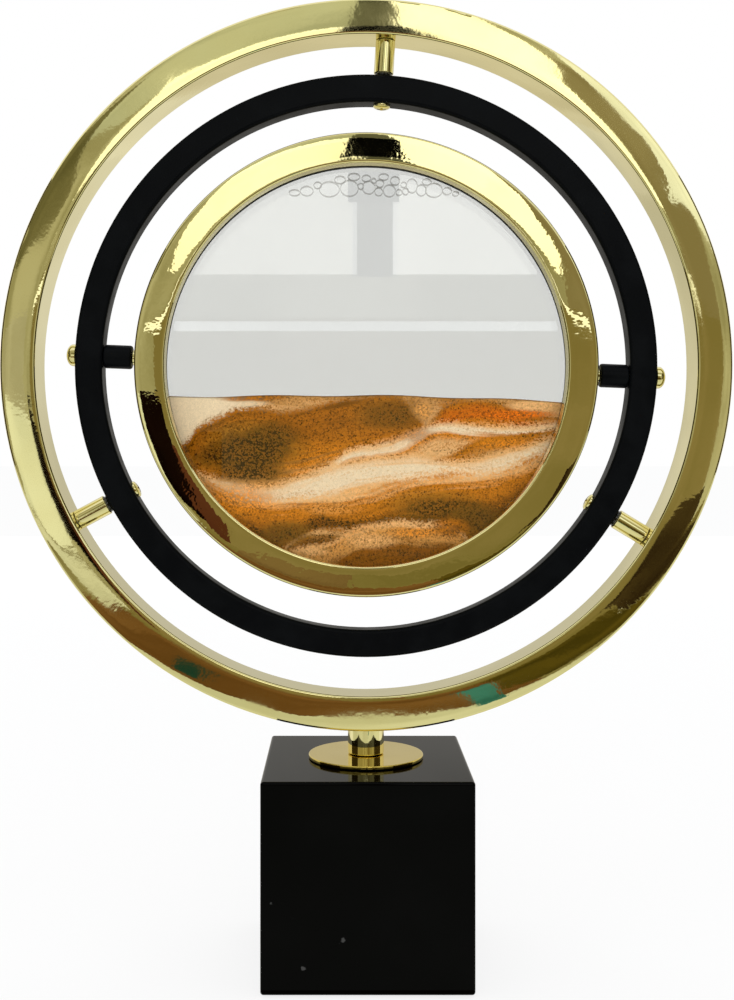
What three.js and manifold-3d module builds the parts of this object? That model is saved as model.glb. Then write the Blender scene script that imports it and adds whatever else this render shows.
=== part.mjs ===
// Moving sand ornament: a glass sand cell in a gold frame that turns over inside two fixed rings,
// which stand on a square stone base. Millimetres, +Z up, front towards -Y, origin under the base.
import * as THREE from "three";
import { mergeVertices } from "three/addons/utils/BufferGeometryUtils.js";
import { RoundedBoxGeometry } from "three/addons/geometries/RoundedBoxGeometry.js";
import Module from "manifold-3d";

// Clearances
const seatGap = 0.2; // between faces that rest on each other
const shankGap = 0.3; // round a shank, spigot or plug in its hole
const cellGap = 0.3; // round the glass cell in the frame

// Base
const padThickness = 0.6;
const padInset = 4;
const padCorner = 4;
const baseWidth = 80;
const baseHeight = 79.2;
const baseEdge = 0.8;
const counterboreDiameter = 20;
const counterboreDepth = 14;

// Base bolt and washer
const boltDiameter = 6;
const boltHeadDiameter = 10;
const boltHeadHeight = 6;
const boltSocketWidth = 5;
const boltSocketDepth = 3;
const baseWasherDiameter = 18;
const baseWasherThickness = 1.6;

// Flange plate and post
const flangeDiameter = 46;
const flangeThickness = 1.5;
const flangeEdge = 0.4;
const postDiameter = 14.5;
const postHeight = 10;
const postTopWall = 3.2;
const postSpigotDiameter = 7;
const spigotReach = 1.5; // past the inside of the tube wall

// Outer ring, a rolled square tube
const outerBar = 13.8;
const outerDepth = 18.4;
const outerWall = 1.2;
const outerCorner = 2.6;

// Standoffs between the rings
const standoffLength = 14.8;
const standoffDiameter = 7.9;
const standoffEdge = 0.8;
const standoffEndWall = 5;
const standoffSpigotDiameter = 4;
const standoffAngles = { top: 88.7, left: 210.5, right: 330.7 };

// Middle ring, a rolled square tube
const middleBar = 11;
const middleDepth = 10.6;
const middleWall = 1.2;
const middleCorner = 1.6;
const ringTurn = 2.2; // the rings inside the outer one are set a little clockwise, seen from the front

// Screws
const screwDiameter = 4;
const screwTip = 0.5;
const recessWidth = 0.9;
const recessLength = 3.6;
const recessDepth = 1.1;
const standoffHeadDiameter = 7.5;
const standoffHeadHeight = 2.2;
const pivotHeadDiameter = 8.8;
const pivotHeadHeight = 3.8;

// Pivots between the middle ring and the sand frame
const pivotRoom = 13.6;
const sleeveDiameter = 9.5;
const sleeveEdge = 0.9;
const pivotWasherDiameter = 6;
const pivotWasherThickness = 1.8;
const pivotAngles = { left: 180, right: 0 };

// Sand frame
const openingDiameter = 159.2;
const lipOverlap = 7;
const lipDepth = 7.4;
const frameWall = 4.7;
const frameEdge = 1.4;
const rearEase = 2.6; // how much wider the rear opening is at each side
const retainerThickness = 2;
const rearRim = 0.8; // how far the frame stands out behind the retaining ring

// Glass cell
const glassThickness = 2.5;
const sealThickness = 0.8;
const sealShow = 0.3; // how far the seals show inside the opening
const spacerThickness = 4;
const spacerSetBack = 0.2; // spacer's inner wall behind the opening's edge
const plugDiameter = 2.4;
const plugAngle = 90;

// Fill of the cell: heights are from the cell's centre, and swells are height, length and phase
const airPocketHeight = 10.6;
const sandTop = { level: -12.4, slope: -0.017, swells: [[0.6, 95, 1.1], [0.35, 48, 0.3]] };
const darkSandBase = { level: -34, slope: 0.14, swells: [[4, 118, 0.9], [1.2, 47, 2.1]] };
const creamSandBase = { level: -48, slope: 0.1, swells: [[2.6, 112, 1.3], [0.9, 43, 0.4]] };
const swellSteps = 30;
const wallPasses = 30; // to find where a swell meets the cavity's wall

// Facets
const ringFacets = 64;
const roundFacets = 24;
const screwFacets = 16;
const cornerSteps = 2;
const domeSteps = 4;

// Sizes that follow
const openingRadius = openingDiameter / 2;
const rearOpeningRadius = openingRadius + rearEase;
const cellRadius = openingRadius + lipOverlap;
const seatRadius = cellRadius + cellGap;
const frameRadius = seatRadius + frameWall;
const middleInner = frameRadius + pivotRoom;
const middleOuter = middleInner + middleBar;
const outerInner = middleOuter + standoffLength;
const outerRadius = outerInner + outerBar;
const spacerInner = openingRadius + spacerSetBack;
const cavityRadius = spacerInner - seatGap;
const shankHole = screwDiameter + 2 * shankGap;
const boltHole = boltDiameter + 2 * shankGap;

const baseBottom = padThickness + seatGap;
const baseTop = baseBottom + baseHeight;
const flangeBottom = baseTop + seatGap;
const flangeTop = flangeBottom + flangeThickness;
const postBottom = flangeTop + seatGap;
const postTop = postBottom + postHeight;
const ringCentre = postTop + seatGap + outerRadius;

const stackDepth = 2 * (sealThickness + glassThickness) + spacerThickness + 6 * seatGap;
const frameDepth = lipDepth + stackDepth + retainerThickness + rearRim;
const frameFront = -frameDepth / 2;
const frameRear = frameDepth / 2;
const frontSealFace = frameFront + lipDepth + seatGap;
const frontGlassFace = frontSealFace + sealThickness + seatGap;
const spacerFace = frontGlassFace + glassThickness + seatGap;
const rearGlassFace = spacerFace + spacerThickness + seatGap;
const rearSealFace = rearGlassFace + glassThickness + seatGap;
const retainerFace = rearSealFace + sealThickness + seatGap;

const wasm = await Module();
wasm.setup();
const mergeDistance = 1e-4;
const overCut = 2; // how far a cutting shape runs past the face that it opens

// Materials
function finish(color, roughness, metalness, opacity = 1) {
  return new THREE.MeshStandardMaterial({ color, roughness, metalness, opacity, transparent: opacity < 1 });
}

const polishedGold = finish(0xd9b45a, 0.12, 1);
const frameGold = finish(0xd6b662, 0.12, 1);
const blackCoat = finish(0x111316, 0.5, 0.1);
const blackMarble = finish(0x0b0b0c, 0.12, 0);
const greyFelt = finish(0x33312e, 0.95, 0);
const zincSteel = finish(0xb4b6b8, 0.35, 1);
const clearGlass = finish(0xf2f5f4, 0.03, 0, 0.25);
const blackRubber = finish(0x161616, 0.7, 0);
const paleRubber = finish(0xc9cac4, 0.6, 0);
const darkSand = finish(0x6e3c12, 0.9, 0);
const creamSand = finish(0xdcc6a0, 0.9, 0);
const amberSand = finish(0xb5661c, 0.9, 0);
const clearLiquid = finish(0xe6eae8, 0.05, 0, 0.2);

// Closed meshes and cuts
function dropFlatTriangles(index) {
  const kept = [];
  for (let i = 0; i < index.length; i += 3) {
    const [a, b, c] = [index[i], index[i + 1], index[i + 2]];
    if (a !== b && b !== c && c !== a) kept.push(a, b, c);
  }
  return kept;
}

function closed(geometry) {
  const bare = geometry.clone();
  bare.deleteAttribute("normal");
  bare.deleteAttribute("uv");
  const merged = mergeVertices(bare, mergeDistance);
  merged.setIndex(dropFlatTriangles(merged.index.array));
  return merged;
}

function toSolid(geometry) {
  const shell = closed(geometry);
  const vertProperties = new Float32Array(shell.attributes.position.array);
  const triVerts = new Uint32Array(shell.index.array);
  return new wasm.Manifold(new wasm.Mesh({ numProp: 3, vertProperties, triVerts }));
}

function toGeometry(solid) {
  const mesh = solid.getMesh();
  const geometry = new THREE.BufferGeometry();
  geometry.setAttribute("position", new THREE.BufferAttribute(new Float32Array(mesh.vertProperties), 3));
  geometry.setIndex(Array.from(mesh.triVerts));
  return geometry;
}

function cut(geometry, cutters) {
  let solid = toSolid(geometry);
  for (const cutter of cutters) solid = solid.subtract(toSolid(cutter));
  return toGeometry(solid);
}

function named(name, geometry, material) {
  const mesh = new THREE.Mesh(closed(geometry), material);
  mesh.name = name;
  return mesh;
}

// Turned shapes: each profile point is a radius and a place along the axis, with the outside going up
function turned(profile, facets) {
  return new THREE.LatheGeometry(profile.map(([radius, along]) => new THREE.Vector2(radius, along)), facets);
}

function turnedRing(profile, facets) {
  return turned([...profile, profile[0]], facets);
}

function roundCorner(radius, along, edge, startTurn) {
  const points = [];
  for (let step = 0; step <= cornerSteps; step += 1) {
    const angle = (startTurn + step / cornerSteps) * (Math.PI / 2);
    points.push([radius + edge * Math.cos(angle), along + edge * Math.sin(angle)]);
  }
  return points;
}

function boxSection(inner, outer, depth, corner) {
  const half = depth / 2 - corner;
  return [
    ...roundCorner(outer - corner, -half, corner, -1),
    ...roundCorner(outer - corner, half, corner, 0),
    ...roundCorner(inner + corner, half, corner, 1),
    ...roundCorner(inner + corner, -half, corner, 2),
  ];
}

function plainSection(inner, outer, low, high) {
  return [[inner, low], [outer, low], [outer, high], [inner, high]];
}

function bevelledSection(inner, outer, low, high, edge) {
  return [
    [inner, low], [outer - edge, low], [outer, low + edge],
    [outer, high - edge], [outer - edge, high], [inner, high],
  ];
}

function tubeRing(inner, outer, depth, corner, wall) {
  const skin = turnedRing(boxSection(inner, outer, depth, corner), ringFacets);
  const hollowCorner = Math.max(corner - wall, 0);
  const hollow = turnedRing(boxSection(inner + wall, outer - wall, depth - 2 * wall, hollowCorner), ringFacets);
  return cut(skin, [hollow]);
}

function rod(diameter, low, high, facets = roundFacets) {
  return turned([[0, low], [diameter / 2, low], [diameter / 2, high], [0, high]], facets);
}

// Placing: a radial piece is turned about Y, with its place along Y counted from the rings' centre
function outward(degrees) {
  const angle = THREE.MathUtils.degToRad(degrees);
  return new THREE.Vector3(Math.cos(angle), 0, Math.sin(angle));
}

function turnOutward(degrees) {
  return new THREE.Quaternion().setFromUnitVectors(new THREE.Vector3(0, 1, 0), outward(degrees));
}

function radialMesh(name, geometry, degrees, material) {
  const mesh = named(name, geometry, material);
  mesh.quaternion.copy(turnOutward(degrees));
  return mesh;
}

function radialDrill(diameter, low, high, degrees) {
  return rod(diameter, low, high, screwFacets).applyQuaternion(turnOutward(degrees));
}

function uprightMesh(name, geometry, material) {
  const mesh = named(name, geometry, material);
  mesh.rotation.x = Math.PI / 2;
  return mesh;
}

function uprightDrill(diameter, low, high) {
  return rod(diameter, low, high).rotateX(Math.PI / 2);
}

// Screws: the head's underside is at 0, with the head above it and the shank below
function domeHead(diameter, height) {
  const points = [];
  for (let step = 0; step <= domeSteps; step += 1) {
    const angle = (step / domeSteps) * (Math.PI / 2);
    points.push([(diameter / 2) * Math.cos(angle), height * Math.sin(angle)]);
  }
  points[domeSteps][0] = 0;
  return points;
}

function crossScrew(headDiameter, headHeight, shankLength) {
  const shank = screwDiameter / 2;
  const profile = [
    [0, -shankLength], [shank - screwTip, -shankLength], [shank, screwTip - shankLength], [shank, 0],
    ...domeHead(headDiameter, headHeight),
  ];
  const slotHeight = recessDepth + overCut;
  const slotCentre = headHeight - recessDepth + slotHeight / 2;
  const slotA = new THREE.BoxGeometry(recessLength, slotHeight, recessWidth).translate(0, slotCentre, 0);
  const slotB = new THREE.BoxGeometry(recessWidth, slotHeight, recessLength).translate(0, slotCentre, 0);
  return cut(turned(profile, screwFacets), [slotA, slotB]);
}

// Base
function basePad() {
  const half = baseWidth / 2 - padInset;
  const flat = half - padCorner;
  const outline = new THREE.Shape();
  outline.absarc(flat, flat, padCorner, 0, Math.PI / 2);
  outline.absarc(-flat, flat, padCorner, Math.PI / 2, Math.PI);
  outline.absarc(-flat, -flat, padCorner, Math.PI, 1.5 * Math.PI);
  outline.absarc(flat, -flat, padCorner, 1.5 * Math.PI, 2 * Math.PI);
  const sheet = new THREE.ExtrudeGeometry(outline, { depth: padThickness, bevelEnabled: false, curveSegments: 4 });
  return named("base_pad", sheet, greyFelt);
}

function baseBlock() {
  const block = new RoundedBoxGeometry(baseWidth, baseWidth, baseHeight, cornerSteps, baseEdge);
  block.translate(0, 0, baseBottom + baseHeight / 2);
  const hole = uprightDrill(boltHole, baseBottom, baseTop + overCut);
  const counterbore = uprightDrill(counterboreDiameter, baseBottom - overCut, baseBottom + counterboreDepth);
  return named("base_block", cut(block, [hole, counterbore]), blackMarble);
}

function baseFasteners() {
  const washerTop = baseBottom + counterboreDepth - seatGap;
  const washerBottom = washerTop - baseWasherThickness;
  const washer = plainSection(boltHole / 2, baseWasherDiameter / 2, washerBottom, washerTop);
  const headTop = washerBottom - seatGap;
  const headBottom = headTop - boltHeadHeight;
  const boltTip = postTop - postTopWall - 2 * seatGap;
  const profile = [
    [0, headBottom], [boltHeadDiameter / 2, headBottom], [boltHeadDiameter / 2, headTop],
    [boltDiameter / 2, headTop], [boltDiameter / 2, boltTip - screwTip],
    [boltDiameter / 2 - screwTip, boltTip], [0, boltTip],
  ];
  const socketRadius = boltSocketWidth / Math.sqrt(3);
  const socket = rod(2 * socketRadius, headBottom - overCut, headBottom + boltSocketDepth, 6);
  return [
    uprightMesh("base_washer", turnedRing(washer, roundFacets), zincSteel),
    uprightMesh("base_bolt", cut(turned(profile, roundFacets), [socket]), zincSteel),
  ];
}

function flangePlate() {
  const section = bevelledSection(boltHole / 2, flangeDiameter / 2, flangeBottom, flangeTop, flangeEdge);
  return uprightMesh("flange_plate", turnedRing(section, 2 * roundFacets), polishedGold);
}

function post() {
  const holeTop = postTop - postTopWall;
  const spigotTop = postTop + seatGap + outerWall + spigotReach;
  const profile = [
    [0, holeTop], [boltHole / 2, holeTop], [boltHole / 2, postBottom],
    [postDiameter / 2, postBottom], [postDiameter / 2, postTop],
    [postSpigotDiameter / 2, postTop], [postSpigotDiameter / 2, spigotTop], [0, spigotTop],
  ];
  return uprightMesh("post", turned(profile, roundFacets), polishedGold);
}

// Outer ring and standoffs
function outerRing() {
  const tube = tubeRing(outerInner, outerRadius, outerDepth, outerCorner, outerWall);
  const postHole = postSpigotDiameter + 2 * shankGap;
  const spigotHole = standoffSpigotDiameter + 2 * shankGap;
  const middleOfBar = outerRadius - outerBar / 2;
  const drills = [radialDrill(postHole, middleOfBar, outerRadius + overCut, 270)];
  for (const angle of Object.values(standoffAngles)) {
    drills.push(radialDrill(spigotHole, outerInner - overCut, middleOfBar, angle - ringTurn));
  }
  return named("outer_ring", cut(tube, drills), polishedGold);
}

function standoffs() {
  const low = middleOuter + seatGap;
  const high = outerInner - seatGap;
  const holeEnd = high - standoffEndWall;
  const spigotEnd = outerInner + outerWall + spigotReach;
  const radius = standoffDiameter / 2;
  const profile = [
    [0, holeEnd], [shankHole / 2, holeEnd], [shankHole / 2, low], [radius - standoffEdge, low],
    [radius, low + standoffEdge], [radius, high - standoffEdge], [radius - standoffEdge, high],
    [standoffSpigotDiameter / 2, high], [standoffSpigotDiameter / 2, spigotEnd], [0, spigotEnd],
  ];
  const screwSeat = middleInner - seatGap;
  const screwEnd = holeEnd - 2 * seatGap;
  const screw = crossScrew(standoffHeadDiameter, standoffHeadHeight, screwEnd - screwSeat);
  screw.rotateZ(Math.PI).translate(0, screwSeat, 0);
  return Object.entries(standoffAngles).flatMap(([side, angle]) => [
    radialMesh(`standoff_${side}`, turned(profile, roundFacets), angle, polishedGold),
    radialMesh(`standoff_screw_${side}`, screw, angle, polishedGold),
  ]);
}

// Middle ring and pivots
function middleRing() {
  const tube = tubeRing(middleInner, middleOuter, middleDepth, middleCorner, middleWall);
  const angles = [...Object.values(standoffAngles), ...Object.values(pivotAngles)];
  const drills = angles.map((angle) => radialDrill(shankHole, middleInner - overCut, middleOuter + overCut, angle));
  return named("middle_ring", cut(tube, drills), blackCoat);
}

function pivots() {
  const washerLow = frameRadius + seatGap;
  const washerHigh = washerLow + pivotWasherThickness;
  const sleeveLow = washerHigh + seatGap;
  const sleeveHigh = middleInner - seatGap;
  const washer = plainSection(shankHole / 2, pivotWasherDiameter / 2, washerLow, washerHigh);
  const sleeve = bevelledSection(shankHole / 2, sleeveDiameter / 2, sleeveLow, sleeveHigh, sleeveEdge);
  const screwSeat = middleOuter + seatGap;
  const screwEnd = seatRadius + 2 * seatGap;
  const screw = crossScrew(pivotHeadDiameter, pivotHeadHeight, screwSeat - screwEnd).translate(0, screwSeat, 0);
  return Object.entries(pivotAngles).flatMap(([side, angle]) => [
    radialMesh(`pivot_washer_${side}`, turnedRing(washer, screwFacets), angle, polishedGold),
    radialMesh(`pivot_sleeve_${side}`, turnedRing(sleeve, roundFacets), angle, blackCoat),
    radialMesh(`pivot_screw_${side}`, screw, angle, polishedGold),
  ]);
}

// Sand frame
function frameRing() {
  const lipBack = frameFront + lipDepth;
  const section = [
    ...roundCorner(frameRadius - frameEdge, frameFront + frameEdge, frameEdge, -1),
    ...roundCorner(frameRadius - frameEdge, frameRear - frameEdge, frameEdge, 0),
    [seatRadius, frameRear], [seatRadius, lipBack], [openingRadius, lipBack],
    ...roundCorner(openingRadius + frameEdge, frameFront + frameEdge, frameEdge, 2),
  ];
  const drills = Object.values(pivotAngles).map((angle) =>
    radialDrill(shankHole, openingRadius + lipOverlap / 2, frameRadius + overCut, angle));
  return named("frame_ring", cut(turnedRing(section, ringFacets), drills), frameGold);
}

function retainingRing() {
  const section = plainSection(rearOpeningRadius, cellRadius, retainerFace, retainerFace + retainerThickness);
  return named("retaining_ring", turnedRing(section, ringFacets), frameGold);
}

// Glass cell
function sealRing(name, opening, face) {
  const section = plainSection(opening - sealShow, cellRadius, face, face + sealThickness);
  return named(name, turnedRing(section, ringFacets), blackRubber);
}

function glassPane(name, face) {
  return named(name, rod(2 * cellRadius, face, face + glassThickness, ringFacets), clearGlass);
}

function cellSpacer() {
  const section = plainSection(spacerInner, cellRadius, spacerFace, spacerFace + spacerThickness);
  const drill = radialDrill(plugDiameter + 2 * shankGap, spacerInner - overCut, cellRadius + overCut, plugAngle);
  drill.translate(0, spacerFace + spacerThickness / 2, 0);
  return named("cell_spacer", cut(turnedRing(section, ringFacets), [drill]), paleRubber);
}

function fillPlug() {
  const plug = rod(plugDiameter, spacerInner + seatGap, cellRadius - seatGap, screwFacets);
  const mesh = radialMesh("fill_plug", plug, plugAngle, paleRubber);
  mesh.position.y = spacerFace + spacerThickness / 2;
  return mesh;
}

// Fill of the cell: each layer lies between two swells and the round wall of the cavity
function swellHeight(swell, x) {
  const waves = swell.swells.map(([height, length, phase]) => height * Math.sin((2 * Math.PI * x) / length + phase));
  return swell.level + swell.slope * x + waves.reduce((sum, wave) => sum + wave, 0);
}

function wallAngle(swell, lift, side) {
  let x = side * cavityRadius;
  let height = 0;
  for (let pass = 0; pass < wallPasses; pass += 1) {
    height = swellHeight(swell, x) + lift;
    x = side * Math.sqrt(cavityRadius ** 2 - height ** 2);
  }
  const angle = Math.atan2(height, x);
  return side < 0 && angle < 0 ? angle + 2 * Math.PI : angle;
}

function wallPoint(angle) {
  return new THREE.Vector2(cavityRadius * Math.cos(angle), cavityRadius * Math.sin(angle));
}

function wallArc(start, end) {
  const steps = Math.max(1, Math.round(((end - start) * ringFacets) / (2 * Math.PI)));
  const points = [];
  for (let step = 1; step < steps; step += 1) points.push(wallPoint(start + ((end - start) * step) / steps));
  return points;
}

function swellLine(swell, lift) {
  const left = wallAngle(swell, lift, -1);
  const right = wallAngle(swell, lift, 1);
  const start = wallPoint(left);
  const end = wallPoint(right);
  const points = [start];
  for (let step = 1; step < swellSteps; step += 1) {
    const x = start.x + ((end.x - start.x) * step) / swellSteps;
    points.push(new THREE.Vector2(x, swellHeight(swell, x) + lift));
  }
  points.push(end);
  return { points, left, right };
}

function fillOutline(lower, upper) {
  const top = swellLine(upper, 0);
  const downwards = [...top.points].reverse();
  if (!lower) return [...downwards, ...wallArc(top.left, top.right + 2 * Math.PI)];
  const bottom = swellLine(lower, seatGap);
  return [...bottom.points, ...wallArc(bottom.right, top.right), ...downwards, ...wallArc(top.left, bottom.left)];
}

function fillLayer(name, lower, upper, material) {
  const outline = new THREE.Shape(fillOutline(lower, upper));
  const band = new THREE.ExtrudeGeometry(outline, { depth: spacerThickness, bevelEnabled: false });
  band.rotateX(Math.PI / 2).translate(0, spacerFace + spacerThickness, 0);
  return named(name, band, material);
}

function cellFill() {
  const liquidTop = { level: cavityRadius - airPocketHeight, slope: 0, swells: [] };
  return [
    fillLayer("sand_amber", null, creamSandBase, amberSand),
    fillLayer("sand_cream", creamSandBase, darkSandBase, creamSand),
    fillLayer("sand_dark", darkSandBase, sandTop, darkSand),
    fillLayer("liquid", sandTop, liquidTop, clearLiquid),
  ];
}

// Assembly
const rings = new THREE.Group();
rings.position.z = ringCentre;
rings.add(outerRing(), ...cellFill());

const turnedSet = new THREE.Group();
turnedSet.rotation.y = THREE.MathUtils.degToRad(ringTurn);
turnedSet.add(middleRing(), ...standoffs(), ...pivots());
turnedSet.add(frameRing(), retainingRing(), cellSpacer(), fillPlug());
turnedSet.add(sealRing("front_seal", openingRadius, frontSealFace));
turnedSet.add(sealRing("rear_seal", rearOpeningRadius, rearSealFace));
turnedSet.add(glassPane("front_glass", frontGlassFace), glassPane("rear_glass", rearGlassFace));
rings.add(turnedSet);

const sandOrnament = new THREE.Group();
sandOrnament.add(basePad(), baseBlock(), ...baseFasteners(), flangePlate(), post(), rings);

export default sandOrnament;
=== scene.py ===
import math
import bpy
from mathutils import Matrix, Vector


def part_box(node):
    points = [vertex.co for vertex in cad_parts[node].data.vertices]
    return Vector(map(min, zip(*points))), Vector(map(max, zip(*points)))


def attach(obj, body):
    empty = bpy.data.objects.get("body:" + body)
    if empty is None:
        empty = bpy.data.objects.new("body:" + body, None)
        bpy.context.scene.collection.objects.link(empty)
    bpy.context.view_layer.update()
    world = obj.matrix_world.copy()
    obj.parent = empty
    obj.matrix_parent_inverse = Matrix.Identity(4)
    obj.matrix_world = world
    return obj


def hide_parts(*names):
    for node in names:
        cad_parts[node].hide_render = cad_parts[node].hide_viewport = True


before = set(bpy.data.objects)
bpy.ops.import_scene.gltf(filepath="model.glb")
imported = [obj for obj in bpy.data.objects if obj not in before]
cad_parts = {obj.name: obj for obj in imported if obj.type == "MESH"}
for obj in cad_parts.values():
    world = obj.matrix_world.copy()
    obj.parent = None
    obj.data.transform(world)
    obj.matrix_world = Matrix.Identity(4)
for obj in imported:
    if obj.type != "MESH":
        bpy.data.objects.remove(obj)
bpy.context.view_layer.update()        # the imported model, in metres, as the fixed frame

scene = bpy.context.scene
scene.view_settings.view_transform = "Standard"
scene.cycles.transparent_max_bounces = 24      # two panes, the water and the bubbles lie one behind the other
millimetres = 1000                             # in one metre
plainWhite = (1.0, 1.0, 1.0, 1.0)

print("stage: camera")
cameraView = {"place": (-0.0096, -0.5155, 0.2019), "lens": 46.19, "sensor": 36.0, "shift": (0.025, -0.0464),
              "near": 0.01}


def addCamera(view):
    bpy.ops.object.camera_add(location=view["place"], rotation=(math.radians(90), 0, 0))
    camera = bpy.context.object
    camera.name = "photoCamera"
    camera.data.lens = view["lens"]
    camera.data.sensor_width = view["sensor"]
    camera.data.shift_x, camera.data.shift_y = view["shift"]
    camera.data.clip_start = view["near"]
    scene.camera = camera


addCamera(cameraView)


class Wire:              # one output socket, so that shader maths reads as plain sums
    def __init__(self, finish, socket):
        self.finish = finish
        self.socket = socket

    def sum(self, operation, *values):
        return self.finish.node("ShaderNodeMath", {"operation": operation}, dict(enumerate(values)))

    def __add__(self, other):
        return self.sum("ADD", self, other)

    def __radd__(self, other):
        return self.sum("ADD", other, self)

    def __sub__(self, other):
        return self.sum("SUBTRACT", self, other)

    def __rsub__(self, other):
        return self.sum("SUBTRACT", other, self)

    def __mul__(self, other):
        return self.sum("MULTIPLY", self, other)

    def __rmul__(self, other):
        return self.sum("MULTIPLY", other, self)

    def __truediv__(self, other):
        return self.sum("DIVIDE", self, other)

    def __rtruediv__(self, other):
        return self.sum("DIVIDE", other, self)

    def least(self, other):
        return self.sum("MINIMUM", self, other)

    def sine(self):
        return self.sum("SINE", self)


class Finish:            # the nodes of one material, or of the world
    def __init__(self, owner):
        owner.use_nodes = True
        self.owner = owner
        self.tree = owner.node_tree
        self.tree.nodes.clear()

    def node(self, kind, settings=None, sockets=None, out=0):
        made = self.tree.nodes.new(kind)
        for key, value in (settings or {}).items():
            if key == "stops":                       # a colour ramp's stops
                ramp = made.color_ramp.elements
                while len(ramp) < len(value):
                    ramp.new(1.0)
                for stop, (spot, colour) in zip(ramp, value):
                    stop.position = spot
                    stop.color = (*colour, 1.0)
            elif key == "points":                    # a float curve's points
                curve = made.mapping.curves[0].points
                curve[0].location, curve[1].location = value[0], value[-1]
                for point in value[1:-1]:
                    curve.new(*point)
                made.mapping.update()
            else:
                setattr(made, key, value)
        for key, value in (sockets or {}).items():
            if isinstance(value, Wire):
                self.tree.links.new(value.socket, made.inputs[key])
            else:
                made.inputs[key].default_value = value
        if isinstance(out, tuple):
            return [Wire(self, made.outputs[each]) for each in out]
        return Wire(self, made.outputs[out]) if made.outputs else self.owner

    def place(self):
        return self.node("ShaderNodeTexCoord", out="Object")

    def noise(self, place, size, detail):            # size is about one swell, in the place's own unit
        return self.node("ShaderNodeTexNoise", None, {"Vector": place, "Scale": 1 / size, "Detail": detail})

    def cells(self, place, size, out):
        return self.node("ShaderNodeTexVoronoi", None, {"Vector": place, "Scale": 1 / size}, out)

    def ramp(self, value, stops):
        return self.node("ShaderNodeValToRGB", {"stops": stops}, {0: value})

    def blend(self, factor, first, second):          # two colours
        return self.node("ShaderNodeMix", {"data_type": "RGBA"}, {0: factor, 6: first, 7: second}, 2)

    def fade(self, value, low, high, start=0.0, end=1.0):
        return self.node(
            "ShaderNodeMapRange", {"interpolation_type": "SMOOTHSTEP"},
            {"Value": value, "From Min": low, "From Max": high, "To Min": start, "To Max": end},
        )

    def bump(self, height):                          # height in metres
        return self.node("ShaderNodeBump", None, {"Strength": 1.0, "Distance": 1.0, "Height": height})

    def surface(self, **sockets):                    # rough=0.4 sets Roughness, and so on
        names = {"colour": "Base Color", "metal": "Metallic", "rough": "Roughness", "normal": "Normal",
                 "specular": "Specular IOR Level", "sheen": "Sheen Weight", "alpha": "Alpha"}
        values = {names[key]: value for key, value in sockets.items()}
        return self.node("ShaderNodeBsdfPrincipled", None, values)

    def close(self, shader, kind="ShaderNodeOutputMaterial"):
        return self.node(kind, None, {"Surface": shader})


def newFinish(name):
    return Finish(bpy.data.materials.new(name))


def opaque(colour):
    return (*colour, 1.0)


print("stage: finishes")
goldLook = {"pale": (0.83, 0.77, 0.41), "deep": (0.78, 0.69, 0.32), "cloud": (0.02, 3.0),
            "roughEdges": (0.3, 0.75), "rough": (0.025, 0.07), "swell": (0.045, 1.0), "swellHeight": 0.0005,
            "peel": (0.002, 1.0), "peelHeight": 0.000008, "paintedShadeFade": 0.0003}


def goldFinish(name, look, paintedShadeTo=0.0):     # polished plate, with a painted shade in the black coat's colour up to that far from the rings' centre
    finish = newFinish(name)
    place = finish.place()
    cloud = finish.noise(place, *look["cloud"])
    swell = finish.noise(place, *look["swell"])
    peel = finish.noise(place, *look["peel"])
    colour = finish.blend(cloud, opaque(look["pale"]), opaque(look["deep"]))
    rough = finish.fade(cloud, *look["roughEdges"], *look["rough"])
    normal = finish.bump(swell * look["swellHeight"] + peel * look["peelHeight"])
    metal = 1.0
    # painted shade: the metal turns to the black coat's colour near the rings' centre
    if paintedShadeTo:
        ends = {0: place, 1: ringCentre}
        away = finish.node("ShaderNodeVectorMath", {"operation": "DISTANCE"}, ends, "Value")
        metal = finish.fade(away, paintedShadeTo, paintedShadeTo + look["paintedShadeFade"])
        colour = finish.blend(metal, opaque(coatLook["colour"]), colour)
    return finish.close(finish.surface(colour=colour, metal=metal, rough=rough, normal=normal))


coatLook = {"colour": (0.002, 0.0024, 0.003), "worn": (0.003, 0.0036, 0.0044), "cloud": (0.012, 4.0),
            "wornEdges": (0.35, 0.75), "roughEdges": (0.3, 0.7), "rough": (0.28, 0.4), "specular": 0.04,
            "grain": (0.0006, 2.0), "grainHeight": 0.00001}


def coatFinish(name, look):          # satin black powder coat
    finish = newFinish(name)
    place = finish.place()
    cloud = finish.noise(place, *look["cloud"])
    grain = finish.noise(place, *look["grain"])
    worn = finish.fade(cloud, *look["wornEdges"])
    colour = finish.blend(worn, opaque(look["colour"]), opaque(look["worn"]))
    rough = finish.fade(cloud, *look["roughEdges"], *look["rough"])
    normal = finish.bump(grain * look["grainHeight"])
    return finish.close(finish.surface(colour=colour, rough=rough, normal=normal, specular=look["specular"]))


stoneLook = {"dark": (0.0003, 0.0003, 0.0003), "cloudy": (0.0009, 0.0009, 0.0009),
             "fleck": (0.06, 0.06, 0.058), "cloud": (0.035, 5.0), "cloudEdges": (0.45, 0.8),
             "grain": (0.0011, 2.0), "shift": (0.0062, 0.0, 0.0045), "fleckCell": 0.015, "fleckSize": 0.03,
             "fleckFade": 2.2, "fleckRagged": 0.12, "fleckShare": 0.8, "fleckRough": 0.3, "rough": 0.04,
             "cloudRough": 0.05, "specular": 0.048}


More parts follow.
